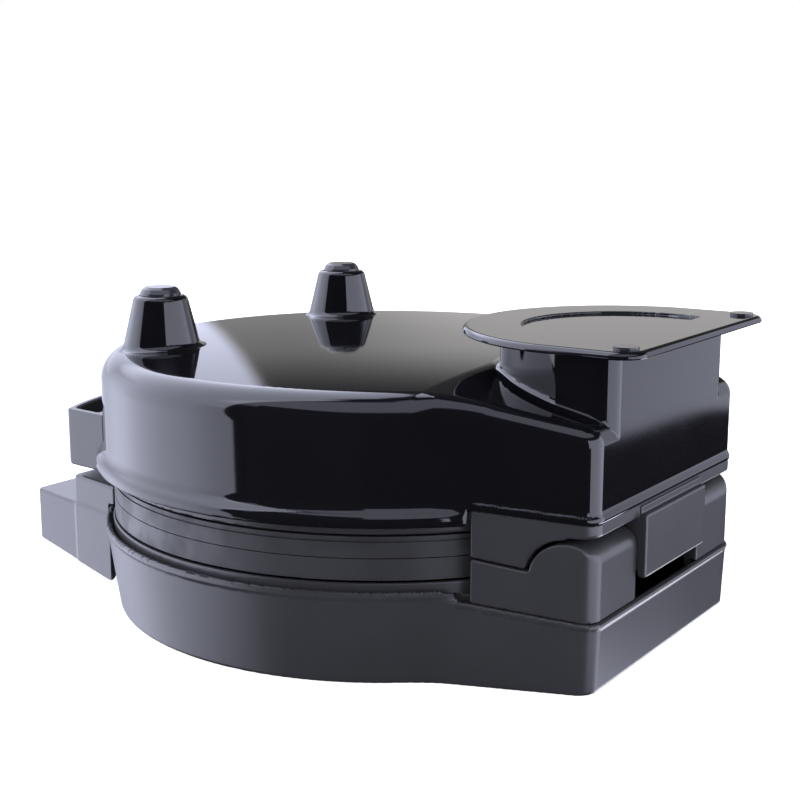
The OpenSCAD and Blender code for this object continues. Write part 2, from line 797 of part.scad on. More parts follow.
// Turned band along the round wall, cut off at both sides
module grip_band(profile, x) {
  intersection() {
    rotate_extrude($fn = 96) polygon(profile);
    translate([0, 0, 30]) linear_extrude(60)
      polygon([[-x, -140], [x, -140], [x + 5, -85], [-x - 5, -85]]);
  }
}

module base_grip() {
  ri = base_lip_r + 0.3;
  pocket = 56;
  color([0.14, 0.14, 0.15])
  difference() {
    union() {
      grip_band([[ri, grip_z0], [grip_r - 3.6, grip_z0], [grip_r, grip_z0 + 3],
                 [grip_r, grip_z1], [ri, grip_z1]], grip_x);
      for (s = [-1, 1]) translate([s * grip_screw_x, -112, grip_screw_z])
        rotate([-90, 0, 0]) cylinder(d = 8, h = 24);
    }
    grip_band([[ri + grip_wall, pocket], [grip_r - grip_wall, pocket],
               [grip_r - grip_wall, 76], [ri + grip_wall, 76]], grip_x - grip_wall);
    rotate_extrude($fn = 96)
      polygon([[0, 30], [base_lip_r + 0.15, 30], [base_lip_r + 0.15, base_lip_z + 3.6],
               [base_wall_r + 0.15, base_lip_z + 7.9], [base_wall_r + 0.15, 90], [0, 90]]);
    for (s = [-1, 1]) translate([s * grip_screw_x, -90, grip_screw_z]) rotate([90, 0, 0]) hole(21);
  }
}

module grip_screws() {
  wall_y = -sqrt(pow(base_wall_r - wall, 2) - grip_screw_x * grip_screw_x);
  color([0.6, 0.6, 0.6]) for (s = [-1, 1])
    translate([s * grip_screw_x, wall_y + 1.2 - 12, grip_screw_z]) rotate([-90, 0, 0]) screw(12);
}

module hinge_bushes() {
  r = pin_d / 2 + pin_fit;
  color([0.72, 0.6, 0.35]) for (s = [-1, 1]) difference() {
    bar(r + bush_wall, s > 0 ? knuckle_x - 8 : -knuckle_x, s > 0 ? knuckle_x : -knuckle_x + 8);
    bar(r, -90, 90);
  }
}

// Rubber cap pressed into a post
module foot_caps() {
  color([0.1, 0.1, 0.1]) for (s = [-1, 1]) translate([s * post_x, post_y, 0]) {
    rotate_extrude($fn = 64)
      polygon([[0, cap_seat], [cap_r, cap_seat], [cap_r, cap_z - 2.2], [cap_r - 0.8, cap_z - 0.8],
               [cap_r - 2, cap_z], [0, cap_z]]);
    translate([0, 0, cap_seat - 3.5]) cylinder(d = 6, h = 4);
  }
}

// Cord wrap plate with a shallow round recess; a rim below it seats in the tower
module cord_plate() {
  color([0.05, 0.05, 0.055]) {
    difference() {
      translate([0, 0, tower_z]) d_prism(cord_r, cord_rear_y, 9, cord_t);
      intersection() {
        translate([0, tower_y, tower_z + cord_t - 0.9]) cylinder(r = label_r, h = 2, $fn = 96);
        translate([-label_r - 1, tower_y - label_r - 1, tower_z]) cube([2 * label_r + 2, label_r + 12, 9]);
      }
    }
    difference() {
      translate([0, 0, tower_z - 4]) tower_inside(wall + 0.15, 4 + eps);
      translate([0, 0, tower_z - 5]) tower_inside(wall + 2, 7);
    }
  }
}

// Prism that follows the inner side of the tower wall
module tower_inside(inset, h) {
  d_prism(tower_r - inset, block_rear_y - 0.8 - inset, block_corner - 1 - inset, h);
}

module rear_pads() {
  color([0.1, 0.1, 0.1]) for (s = [-1, 1])
    translate([s * 46.5, cord_rear_y - 7, tower_z + cord_t]) {
      cylinder(d = 8, h = pad_t);
    }
}

// Snap thermostat on the back of the base plate
module thermostat() {
  color([0.75, 0.74, 0.7]) translate([0, 0, base_back]) {
    cylinder(d = 17, h = 2);
    translate([0, 0, 2 - eps]) cylinder(d = 15, h = 9);
    for (s = [-1, 1]) translate([s * 5 - 0.4, -3.2, 10]) cube([0.8, 6.4, 8]);
  }
}

module thermostat_bracket() {
  color([0.65, 0.65, 0.66]) difference() {
    translate([-24, -11, base_back]) union() {
      cube([8, 22, 1]);
      translate([40, 0, 0]) cube([8, 22, 1]);
      translate([7, 0, 0]) cube([1, 22, 3.1]);
      translate([40, 0, 0]) cube([1, 22, 3.1]);
      translate([7, 0, 2.1]) cube([34, 22, 1]);
    }
    translate([0, 0, base_back - 1]) cylinder(d = 15.4, h = 20);
  }
}

// Two-way terminal block against the rear wall of the tower
module terminal_block() {
  color([0.88, 0.87, 0.82]) difference() {
    translate([-14, block_rear_y - 0.8 - wall - 12, tower_z - 16]) cube([28, 12, 12]);
    for (s = [-1, 1]) {
      translate([s * 7, block_rear_y - 9.2, tower_z - 11]) cylinder(d = 3.4, h = 10);
      translate([s * 7, 90, tower_z - 11]) rotate([-90, 0, 0]) cylinder(d = 4, h = 24);
    }
  }
}

// Cord entry bushing in the hidden side of the tower
module cord_bushing() {
  color([0.08, 0.08, 0.08]) difference() {
    union() {
      translate([-side_x - 7, tower_y + 4, gland_z]) rotate([0, 90, 0]) cylinder(d1 = gland_d - 3, d2 = gland_d, h = 7 - 0.05);
      translate([-side_x - 0.2, tower_y + 4, gland_z]) rotate([0, 90, 0]) cylinder(d = gland_d, h = wall + 0.6);
      translate([-side_x + wall + 0.1, tower_y + 4, gland_z]) rotate([0, 90, 0]) cylinder(d = gland_d + 3, h = 2);
    }
    translate([-side_x - 10, tower_y + 4, gland_z]) rotate([0, 90, 0]) cylinder(d = 6.4, h = 20);
  }
}

module base_leads() {
  tx = heater_r * sin(heater_gap / 2);
  ty = heater_r * cos(heater_gap / 2);
  tz = base_back + heater_d / 2 + 13;
  color([0.75, 0.2, 0.15]) {
    lead([[tx, ty, tz], [tx, ty, 80], [7, 90, 92], [7, 100, tower_z - 11], [7, 110, tower_z - 11]], 2.2);
    lead([[-tx, ty, tz], [-tx, ty, 82], [-5, 6, 82], [-5, 0, base_back + 18]], 2.2);
    lead([[5, 0, base_back + 18], [5, 8, 84], [-7, 84, 88], [-7, 100, tower_z - 11], [-7, 110, tower_z - 11]], 2.2);
  }
}

lid_cover();
lid_frame();
lid_plate();
lid_heater();
lid_shield();
lid_spacers();
lid_plate_screws();
lid_frame_screws();
lid_handle();
handle_screws();
hinge_pin();
pin_plug();
lid_fuse();
lid_leads();
base_cover();
base_frame();
base_plate();
base_heater();
base_shield();
base_spacers();
base_plate_screws();
base_frame_screws();
base_grip();
grip_screws();
hinge_bushes();
foot_caps();
cord_plate();
rear_pads();
thermostat();
thermostat_bracket();
terminal_block();
cord_bushing();
base_leads();
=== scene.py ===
"""Looks of the waffle cone maker: moulded shells, finishes, studio and camera.

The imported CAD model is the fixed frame. The smooth plastic shells are meshed here from
distance fields, so that their fillets are true, and each stands for the CAD node of its place.
Lengths in the form classes and the field functions are millimetres, and the third number of
both() and either() is the radius of the edge or fillet. Every Blender mesh is in metres.
"""

import json
import math

import bpy
import numpy as np
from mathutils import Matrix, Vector

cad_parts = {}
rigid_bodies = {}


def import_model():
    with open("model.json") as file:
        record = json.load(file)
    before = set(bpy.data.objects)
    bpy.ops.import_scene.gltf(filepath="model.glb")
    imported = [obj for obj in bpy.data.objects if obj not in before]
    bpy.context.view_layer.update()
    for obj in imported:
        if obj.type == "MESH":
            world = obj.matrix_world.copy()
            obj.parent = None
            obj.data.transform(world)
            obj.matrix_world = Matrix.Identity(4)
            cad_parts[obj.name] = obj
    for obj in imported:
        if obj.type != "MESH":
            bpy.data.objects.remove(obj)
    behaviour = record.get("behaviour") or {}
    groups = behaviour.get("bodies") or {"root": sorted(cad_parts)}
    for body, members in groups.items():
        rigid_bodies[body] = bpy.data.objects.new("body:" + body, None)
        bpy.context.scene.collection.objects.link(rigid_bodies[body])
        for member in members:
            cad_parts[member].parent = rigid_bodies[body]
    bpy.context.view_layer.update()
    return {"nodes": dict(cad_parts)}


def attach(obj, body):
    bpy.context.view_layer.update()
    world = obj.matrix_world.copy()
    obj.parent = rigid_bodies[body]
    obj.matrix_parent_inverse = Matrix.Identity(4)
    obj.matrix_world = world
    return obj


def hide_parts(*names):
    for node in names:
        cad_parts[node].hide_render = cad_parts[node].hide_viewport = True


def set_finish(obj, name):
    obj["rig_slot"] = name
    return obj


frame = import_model()

bl_info = {
    "name": "Waffle cone maker looks",
    "version": (1, 0, 0),
    "blender": (4, 5, 0),
    "location": "View3D > Sidebar > Cone maker",
    "description": "Moulded shells, finishes, studio and camera for the waffle cone maker",
    "category": "Object",
}

MM = 0.001
MICRON = 0.000001


# ---------- settings ----------

class ConeMakerSizes(bpy.types.PropertyGroup):
    """Sizes of the moulded shells that the frame doesn't give"""
    cell: bpy.props.FloatProperty(
        name="Mesh cell", description="Edge of one mesh cell on the large shells, in millimetres",
        default=1.0, min=0.5, max=3.0)
    wall: bpy.props.FloatProperty(
        name="Wall", description="Wall thickness of the moulded covers, in millimetres",
        default=2.4, min=1.0, max=4.0)
    deck_edge: bpy.props.FloatProperty(
        name="Deck edge", description="Radius between the wall and the deck, in millimetres",
        default=9.0, min=3.0, max=14.0)
    crown: bpy.props.FloatProperty(
        name="Crown", description="How far the deck rises towards its middle, in millimetres",
        default=2.6, min=0.0, max=5.0)
    fillet: bpy.props.FloatProperty(
        name="Fillet", description="Radius at the foot of the tower, in millimetres",
        default=3.0, min=1.0, max=6.0)


class ConeMakerFinish(bpy.types.PropertyGroup):
    """Colours and gloss of the finishes"""
    gloss_black: bpy.props.FloatVectorProperty(
        name="Gloss black", description="Colour of the polished base plastic",
        subtype="COLOR", size=3, default=(0.0042, 0.0042, 0.0052), min=0.0, max=1.0)
    satin_black: bpy.props.FloatVectorProperty(
        name="Satin black", description="Colour of the satin lid plastic",
        subtype="COLOR", size=3, default=(0.038, 0.038, 0.041), min=0.0, max=1.0)
    cast: bpy.props.FloatVectorProperty(
        name="Cast metal", description="Colour of the coated cast plates",
        subtype="COLOR", size=3, default=(0.035, 0.035, 0.038), min=0.0, max=1.0)
    rubber: bpy.props.FloatVectorProperty(
        name="Rubber", description="Colour of the rubber caps",
        subtype="COLOR", size=3, default=(0.03, 0.03, 0.034), min=0.0, max=1.0)
    gloss: bpy.props.FloatProperty(
        name="Polish", description="Roughness of the polished plastic",
        default=0.05, min=0.0, max=1.0)
    satin: bpy.props.FloatProperty(
        name="Satin", description="Roughness of the satin plastic",
        default=0.3, min=0.0, max=1.0)


class ConeMakerStudio(bpy.types.PropertyGroup):
    """Camera and light"""
    lens: bpy.props.FloatProperty(
        name="Lens", description="Focal length on a 36 mm sensor, in millimetres",
        default=62.29, min=20.0, max=200.0)
    place: bpy.props.FloatVectorProperty(
        name="Camera", description="Where the camera stands", subtype="XYZ", unit="LENGTH",
        size=3, default=(0.42065, 0.29878, 0.17412))
    azimuth: bpy.props.FloatProperty(
        name="Azimuth", description="Direction that the camera stands in, from the front",
        subtype="ANGLE", default=math.radians(124.68))
    tilt: bpy.props.FloatProperty(
        name="Tilt", description="How far the camera looks down", subtype="ANGLE",
        default=math.radians(11.12))


def sizes():
    """Sizes of the moulded shells."""
    return bpy.context.scene.cone_maker_sizes


def finish():
    """Colours and gloss."""
    return bpy.context.scene.cone_maker_finish


def studio():
    """Camera settings."""
    return bpy.context.scene.cone_maker_studio


# ---------- places and sizes of the forms, in millimetres ----------

class Block:
    """The tapered hinge block behind the round body: its plan and its falling planes."""
    start = 20.0
    front = (70.5, 79.0)
    rear = (57.8, 118.2)
    corner = 8.0
    centre = (rear[0] - corner, rear[1] - corner)
    out = (0.9322, 0.3619)
    length = rear[1] - front[1]

    @classmethod
    def plan(cls, x, y):
        """Distance to the plan: slanted sides, rear wall and round rear corners."""
        x = np.abs(x)
        side = (x - cls.front[0]) * cls.out[0] + (y - cls.front[1]) * cls.out[1]
        u, v = x - cls.centre[0], y - cls.centre[1]
        turned = (u > 0) & (cls.out[0] * v > cls.out[1] * u)
        edge = np.where(turned, np.hypot(u, v) - cls.corner, np.maximum(side, y - cls.rear[1]))
        return np.maximum(edge, cls.start - y)

    @classmethod
    def fall(cls, y, front, rear):
        """Height of a plane that falls from front to rear along the block."""
        return front + (rear - front) * (y - cls.front[1]) / cls.length


class Base:
    """Base cover. Pairs are heights at the front and the rear of the hinge block."""
    wall_radius = 104.4
    lip_radius = 107.3
    lip_top = 57.0
    deck = 94.0
    deck_fall = (92.5, 84.5)
    fold = 0.9
    soft_edge = 4.0
    band_bottom = 45.0
    band_top = (60.7, 57.5)
    lower_edge = 53.2
    lower_fall = (58.5, 55.3)
    screw_circle = 93.2
    screw_angles = (20, 160, 215, 325)
    cord_bore = (104.0, 94.4)


class Tower:
    """Cord tower: a round front, straight sides and a flat rear."""
    centre = 104.4
    half = 46.0
    rear = 117.4
    corner = 7.0
    bottom = 70.0
    top = 107.0
    fillet_ends = 116.0


class Post:
    """The two posts on the deck, each with a seat for its rubber cap."""
    x = 55.0
    y = -61.0
    radius = 14.0
    radius_at = 96.0
    taper = 0.242
    bottom = 80.0
    top = 114.1
    seat = 113.02
    seat_radius = 7.45
    peg_radius = 3.1

    @classmethod
    def around(cls, x, y):
        """Distance from the middle line of the nearer post."""
        return np.hypot(np.abs(x) - cls.x, y - cls.y)


class Lid:
    """Lid cover. Pairs are heights at the front and the rear of the hinge block."""
    tub_radius = 100.4
    tub_draft = 4.0
    tub_top = 29.4
    lip_radius = 105.0
    lip_bottom = 29.6
    open_top = 40.0
    rim = 32.0
    band_bottom = (26.7, 21.9)
    band_top = (28.4, 23.6)
    block_draft = 0.04
    draft_top = 24

    @classmethod
    def widening(cls, z):
        """How far the drafted tub has widened at each height."""
        return cls.tub_draft * np.clip(z / cls.tub_top, 0, 1)


class CordPlate:
    """Cord plate on the tower, its shallow recess and the rim that sits in the tower."""
    centre = 100.8
    half = 55.6
    rear = 129.0
    corner = 9.0
    bottom = 107.0
    top = 109.4
    recess_radius = 36.0
    recess_rear = 111.8
    recess_floor = 108.5
    rim_outer = (43.45, 114.85, 4.45)
    rim_inner = (41.6, 113.0, 2.6)
    rim_bottom = 103.0


class Grip:
    """Open trough in front of the base cover."""
    radius = 125.8
    inner_radius = 107.6
    trough = (110.6, 122.8)
    bottom = 43.4
    floor = 56.0
    top = 66.0
    half = 54.0
    front = 140.0
    side_slope = 11.0
    wall = 3.0
    screw_x = 30.0
    screw_z = 61.8


class Handle:
    """Flat wedge in front of the lid cover, with a raised root."""
    front = -141.0
    half = 49.0
    half_root = 62.0
    side = (0.9766, 0.2152)
    top = 28.0
    root_front = -111.0
    root_top = 39.5
    under_rise = 0.1051
    under_from = -82.0


class Hinge:
    """The hinge axis and the ears round it, seen from the side."""
    y = 109.0
    z = 38.8
    ear = 10.4
    pin_bore = 3.02
    bush_bore = 4.56
    barrel = 9.8
    clear = 11.6
    slot_half = 24.8
    knuckle_half = 24.2

    @classmethod
    def around(cls, y, z):
        """Distance from the hinge axis."""
        return np.hypot(y - cls.y, z - cls.z)


class Bezel:
    """What the bezels of both halves share, and their parting lines, front and rear."""
    inset = 0.4
    wall = 4.2
    inner_radius = 102.2
    ring = (86.0, 101.0)
    rim = (100.3, 101.9)
    shelf_front = 60.0
    step = 81.6
    lid_top = (42.9, 36.4)
    lid_seat = (28.45, 23.65)
    skirt_top = (29.4, 24.6)
    base_bottom = (43.5, 37.0)
    base_seat = (58.45, 55.25)


# ---------- distance fields ----------

def both(a, b, r=0.0):
    """Where both solids are; the edge between them is rounded to r."""
    if isinstance(r, float) and r == 0:
        return np.maximum(a, b)
    rounded = np.hypot(np.maximum(a + r, 0), np.maximum(b + r, 0))
    return np.minimum(-r, np.maximum(a, b)) + rounded


def either(a, b, r):
    """Where one solid or the other is; the corner between them is filled to r."""
    low = np.minimum(a, b)
    filled = np.maximum(r, low) - np.hypot(np.maximum(r - a, 0), np.maximum(r - b, 0))
    return np.where(r > 0, filled, low)


def slab(v, low, high):
    """Between two parallel planes."""
    return np.maximum(low - v, v - high)


def radial(p):
    """Distance from the upright middle line of the round body."""
    return np.hypot(p[0], p[1])


def tower_plan(x, y, centre, half, rear, corner):
    """Round front about a centre on the mid line, straight sides and rear corners."""
    front = np.minimum(np.hypot(x, y - centre) - half, centre - y)
    straight = both(np.abs(x) - (half - 0.4), y - rear, corner)
    return np.maximum(front, straight)


def base_field(p):
    """Outer form of the base cover, posts and tower, not yet hollow."""
    x, y, z = p
    s = sizes()
    r = radial(p)
    plan = Block.plan(x, y)

    wall = either(r - Base.wall_radius, plan + 0.8, 4.0)
    deck = Base.deck + s.crown * (1 - (r / Base.wall_radius) ** 2)
    top = both(z - deck, z - Block.fall(y, *Base.deck_fall), Base.fold)
    edge = s.deck_edge - Base.soft_edge * np.clip((y - 66.0) / 18.0, 0, 1)
    form = both(wall, top, edge)

    lip = both(both(r - Base.lip_radius, z - Base.lip_top, 1.6), 40.0 - z)
    form = either(form, lip, 4.0)
    band = both(plan, slab(z, Base.band_bottom, Block.fall(y, *Base.band_top)), 0.9)
    form = either(form, band, 1.2)

    tower = tower_plan(x, y, Tower.centre, Tower.half, Tower.rear, Tower.corner)
    tower = np.maximum(tower, z - Tower.top)
    foot = s.fillet * np.clip((Tower.fillet_ends - y) / 6.0, 0, 1)
    form = either(form, np.maximum(tower, Tower.bottom - z), foot)

    rho = Post.around(x, y)
    cone = (rho - (Post.radius - (z - Post.radius_at) * Post.taper)) * 0.972
    post = both(cone, z - Post.top, 1.6)
    form = either(form, np.maximum(post, Post.bottom - z), 2.2)
    return np.maximum(form, np.minimum(z - Post.seat, Post.seat_radius - rho))


def base_shell(p):
    """Base cover: the outer form, hollowed and cut along its lower edge."""
    x, y, z = p
    outer = base_field(p)
    behind = np.minimum(Block.fall(y, *Base.lower_fall) - z, y - 81.3)
    cut = np.maximum(Base.lower_edge - z, behind)
    shell = both(both(outer, cut, 0.9), -(outer + sizes().wall), 0.5)
    for angle in Base.screw_angles:
        cx = Base.screw_circle * math.cos(math.radians(angle))
        cy = Base.screw_circle * math.sin(math.radians(angle))
        boss = np.maximum(np.hypot(x - cx, y - cy) - 4.5, slab(z, 57.2, 93.0))
        shell = np.minimum(shell, boss)
    bore = np.hypot(y - Base.cord_bore[0], z - Base.cord_bore[1]) - 6.1
    bore = np.maximum(bore, x + 35.0)
    peg = np.maximum(Post.around(x, y) - Post.peg_radius, 106.0 - z)
    return np.maximum(shell, -np.minimum(bore, peg))


def lid_field(p):
    """Outer form of the lid cover: a drafted tub and the block behind it."""
    x, y, z = p
    r = radial(p)
    lip = both(r - Lid.lip_radius, slab(z, Lid.lip_bottom, Lid.open_top), 0.7)
    tub = either((r - (Lid.tub_radius + Lid.widening(z))) * 0.99, lip, 0.6)
    plan = Block.plan(x, y)
    band = both(plan - 0.5, slab(z, Block.fall(y, *Lid.band_bottom), Lid.open_top), 0.5)
    draft = np.clip(Lid.draft_top - z, 0, Lid.draft_top) * Lid.block_draft
    block = either(plan + draft, band, 0.5)
    return both(either(tub, block, 2.4), -z, 1.4)


def lid_shell(p):
    """Lid cover: hollow and open at the top."""
    y, z = p[1], p[2]
    outer = lid_field(p)
    behind = np.minimum(z - Block.fall(y, *Lid.band_top), radial(p) - 105.05)
    cut = np.maximum(z - Lid.rim, behind)
    return both(both(outer, cut, 0.5), -(outer + sizes().wall), 0.4)


def cord_plate_field(p):
    """Cord plate with a soft outer edge and a shallow recess."""
    x, y, z = p
    c = CordPlate
    plate = both(tower_plan(x, y, c.centre, c.half, c.rear, c.corner), z - c.top, 1.9)
    plate = both(plate, c.bottom - z, 0.4)
    recess = both(np.hypot(x, y - c.centre) - c.recess_radius, y - c.recess_rear, 0.8)
    plate = both(plate, -np.maximum(recess, c.recess_floor - z), 0.25)
    rim = tower_plan(x, y, Tower.centre, *c.rim_outer)
    rim = np.maximum(rim, slab(z, c.rim_bottom, c.bottom + 0.2))
    hollow = tower_plan(x, y, Tower.centre, *c.rim_inner)
    return np.minimum(plate, np.maximum(rim, -hollow))


def base_outline(r, z):
    """Everything inside the base cover's wall and flared lip, seen from the grip."""
    wall = r - 104.55
    flare = np.maximum(r - 107.45, (r - 107.45) * 0.92 + (z - 58.4) * 0.39)
    return np.minimum(wall, flare)


def grip_field(p):
    """Base grip: a curved trough, open at the top, that hugs the round wall."""
    x, y, z = p
    r = radial(p)
    g = Grip
    side = (np.abs(x) - g.half - (y + g.front) / g.side_slope) * 0.996
    form = both(both(both(r - g.radius, g.bottom - z, 1.5), side, 1.1), z - g.top, 0.7)
    form = np.maximum(both(form, g.inner_radius - r, 0.4), y + 60.0)
    trough = both(both(slab(r, *g.trough), side + g.wall, 1.6), g.floor - z, 1.6)
    form = both(form, -trough, 0.7)
    boss = np.hypot(np.abs(x) - g.screw_x, z - g.screw_z) - 4.0
    boss = np.maximum(boss, slab(y, -112.0, -88.0))
    return both(np.minimum(form, boss), -base_outline(r, z), 0.3)


def handle_field(p):
    """Lid handle: a flat wedge with a raised root against the lid wall."""
    x, y, z = p
    r = radial(p)
    h = Handle
    side = (np.abs(x) - h.half) * h.side[0] - (y - h.front) * h.side[1]
    side = np.maximum(side, np.abs(x) - h.half_root)
    plan = both(side, h.front - y, 2.0)
    flat = both(plan, z - h.top, 1.2)
    root = both(both(plan, h.root_front - y, 1.0), z - h.root_top, 1.2)
    form = either(flat, root, 1.4)
    under = 0.4 + np.maximum(h.under_from - y, 0.0) * h.under_rise - z
    form = both(np.maximum(form, y + 60.0), under, 1.2)
    cone = np.maximum(r - 100.6 - Lid.widening(z), z - Lid.tub_top)
    lip = np.maximum(r - 105.2, z - 32.2)
    return both(form, -np.minimum(np.minimum(cone, lip), r - 102.8), 0.3)


def ring(p, radii, low, high):
    """A flat ring about the middle line."""
    return both(slab(radial(p), *radii), slab(p[2], low, high), 0.4)


def shelf(p, plan, low, high):
    """Flat shelf along the block's walls, open over the cooking plate."""
    form = np.maximum(np.maximum(plan, Bezel.shelf_front - p[1]), slab(p[2], low, high))
    return np.maximum(form, Bezel.ring[0] - radial(p))


def lid_frame_field(p):
    """Lid bezel: mounting ring, side walls and two ears with a slot for the knuckle."""
    x, y, z = p
    r = radial(p)
    plan = Block.plan(x, y) + Bezel.inset
    around = Hinge.around(y, z)

    top = z - Block.fall(y, *Bezel.lid_top)
    ears = np.minimum(around - Hinge.ear, both(slab(y, 98.6, 119.4), z - Hinge.z))
    profile = either(both(top, Bezel.step - y, 0.6), ears, 1.0)
    solid = both(plan, profile, 0.9)
    hollow = np.maximum(-(plan + Bezel.wall), Bezel.inner_radius - r)
    solid = both(solid, np.where(y < 98.6, hollow, -99.0), 0.3)
    solid = np.maximum(solid, Block.fall(y, *Bezel.lid_seat) - z)
    solid = np.maximum(solid, Bezel.inner_radius - r)

    skirt = np.maximum(slab(plan, -5.0, -2.2), np.maximum(slab(z, 18.9, 26.9), 98.6 - y))
    solid = np.minimum(solid, np.maximum(skirt, z - Block.fall(y, *Bezel.skirt_top)))
    solid = np.minimum(solid, shelf(p, plan + 3.4, 26.85, 29.85))
    solid = np.minimum(solid, ring(p, Bezel.ring, 26.85, 29.85))
    solid = np.minimum(solid, ring(p, Bezel.rim, 29.65, 34.05))
    slot = both(np.abs(x) - Hinge.slot_half, 93.0 - y)
    bore = np.maximum(around - Hinge.pin_bore, x - 51.0)
    return np.maximum(both(solid, -slot, 0.6), -bore)


def base_frame_field(p):
    """Base bezel: ring, stepped side plates, rear band and the centre knuckle."""
    x, y, z = p
    plan = Block.plan(x, y) + Bezel.inset
    around = Hinge.around(y, z)

    profile = both(Block.fall(y, *Bezel.base_bottom) - z, Bezel.step - y, 0.6)
    profile = both(profile, Hinge.clear - around, 0.7)
    low_rear = np.maximum(Hinge.y - y, z - 51.1)
    profile = both(profile, -low_rear, 0.5)
    walls = both(both(plan, profile, 0.9), -(plan + Bezel.wall), 0.3)
    walls = np.maximum(walls, z - Block.fall(y, *Bezel.base_seat))
    walls = np.maximum(walls, Bezel.inner_radius - radial(p))
    solid = np.minimum(walls, shelf(p, plan + 3.5, 54.15, 57.15))
    solid = np.minimum(solid, ring(p, Bezel.ring, 54.15, 57.15))
    solid = np.minimum(solid, ring(p, Bezel.rim, 49.95, 54.35))

    barrel = around - Hinge.barrel
    neck = np.maximum(slab(y, 99.2, 118.8), slab(z, Hinge.z, 55.15))
    cover = both(slab(y, 117.6, 120.6), slab(z, 31.2, 52.5), 0.7)
    bridge = np.maximum(slab(y, Hinge.y, 119.6), slab(z, Hinge.z, 52.5))
    knuckle = np.minimum(np.minimum(barrel, neck), np.minimum(cover, bridge))
    knuckle = both(knuckle, np.abs(x) - Hinge.knuckle_half, 0.6)
    knuckle = np.maximum(knuckle, Hinge.bush_bore - around)
    hollow = np.maximum(slab(y, 102.0, 116.0), slab(z, 32.8, 45.8))
    hollow = np.maximum(np.abs(x) - 16.2, hollow)
    return np.minimum(solid, np.maximum(knuckle, -hollow))


# ---------- meshes from fields ----------

CUBE = [(i, j, k) for i in (0, 1) for j in (0, 1) for k in (0, 1)]
FINE_CELL = 0.6


def grid_points(low, high, cell):
    """The three axes of a grid round a box, and its points."""
    axes = []
    for a, b in zip(low, high):
        axes.append(np.arange(a - 2 * cell, b + 2.5 * cell, cell, dtype=np.float32))
    return axes, np.meshgrid(*axes, indexing="ij", sparse=True)


def crossed_cells(inside):
    """Cells that have corners on both sides, and the number of each in the grid."""
    shape = [n - 1 for n in inside.shape]
    count = np.zeros(shape, np.int8)
    for i, j, k in CUBE:
        count += inside[i:i + shape[0], j:j + shape[1], k:k + shape[2]]
    cells = np.argwhere((count > 0) & (count < 8))
    index = np.full(shape, -1, np.int64)
    index[tuple(cells.T)] = np.arange(len(cells))
    return cells, index


def crossing_points(d, cells):
    """Mean of the places where the edges of each cell cross the surface."""
    total = np.zeros((len(cells), 3))
    hits = np.zeros(len(cells))
    for a in CUBE:
        for axis in range(3):
            if a[axis]:
                continue
            b = tuple(v + (n == axis) for n, v in enumerate(a))
            da = d[tuple((cells + a).T)]
            db = d[tuple((cells + b).T)]
            crossed = (da < 0) != (db < 0)
            t = np.where(crossed, da / np.where(crossed, da - db, 1), 0)
            spot = np.array(a, float) + t[:, None] * (np.array(b) - np.array(a))
            total += np.where(crossed[:, None], spot, 0)
            hits += crossed
    return cells + total / hits[:, None]


def crossing_quads(inside, index):
    """One quad for each grid edge that crosses the surface, facing out."""
    quads = []
    step = np.eye(3, dtype=int)
    for axis in range(3):
        u, v = [n for n in range(3) if n != axis]
        here = inside[tuple(slice(0 if n == axis else 1, -1) for n in range(3))]
        there = inside[tuple(slice(1, None) if n == axis else slice(1, -1) for n in range(3))]
        base = np.argwhere(here != there) + (1 - step[axis])
        corners = [base - step[u] - step[v], base - step[v], base, base - step[u]]
        faces = np.stack([index[tuple(c.T)] for c in corners], axis=1)
        flip = here[tuple((base - (1 - step[axis])).T)] == (axis == 1)
        faces[flip] = faces[flip][:, ::-1]
        quads.append(faces)
    return np.concatenate(quads)


def net(field, low, high, cell):
    """Vertices and quads of the surface where field is 0, one vertex to a crossed cell."""
    axes, p = grid_points(low, high, cell)
    d = np.broadcast_to(field(p), [len(a) for a in axes]).astype(np.float32)
    inside = d < 0
    cells, index = crossed_cells(inside)
    verts = crossing_points(d, cells) * cell + np.array([a[0] for a in axes])
    return verts, crossing_quads(inside, index)


def slope_of(field, verts, h=0.02):
    """Direction in which the field grows fastest, at each vertex."""
    g = np.empty_like(verts)
    for n in range(3):
        a, b = verts.copy(), verts.copy()
        a[:, n] -= h
        b[:, n] += h
        g[:, n] = field(tuple(b.T)) - field(tuple(a.T))
    return g / (2 * h)


def project(field, verts, cell):
    """Moves each vertex straight onto the surface."""
    g = slope_of(field, verts)
    step = field(tuple(verts.T)) / np.maximum((g * g).sum(1), 0.25)
    verts -= np.clip(step, -cell / 2, cell / 2)[:, None] * g


def relax(verts, quads, share=0.5):
    """Moves each vertex towards the middle of its neighbours, so that the net gets even."""
    a = quads.ravel()
    b = np.roll(quads, -1, axis=1).ravel()
    ends = np.concatenate([a, b])
    others = np.concatenate([b, a])
    count = np.maximum(np.bincount(ends, minlength=len(verts)), 1)
    for n in range(3):
        mean = np.bincount(ends, weights=verts[others, n], minlength=len(verts)) / count
        verts[:, n] += share * (mean - verts[:, n])


def moulded(name, field, low, high, cell, body, node):
    """A closed shell meshed from its field, with true normals, in the place of a CAD node."""
    verts, quads = net(field, low, high, cell)
    for _ in range(3):
        relax(verts, quads)
        project(field, verts, cell)
    project(field, verts, cell)
    normals = slope_of(field, verts, 0.1)
    normals /= np.maximum(np.linalg.norm(normals, axis=1), 1e-9)[:, None]
    mesh = bpy.data.meshes.new(name)
    mesh.from_pydata((verts * MM).tolist(), [], quads.tolist())
    mesh.validate()
    mesh.polygons.foreach_set("use_smooth", [True] * len(mesh.polygons))
    mesh.normals_split_custom_set_from_vertices(normals.tolist())
    mesh.update()
    obj = bpy.data.objects.new(name, mesh)
    bpy.context.scene.collection.objects.link(obj)
    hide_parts(node)
    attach(obj, body)
    return obj


# ---------- finishes ----------

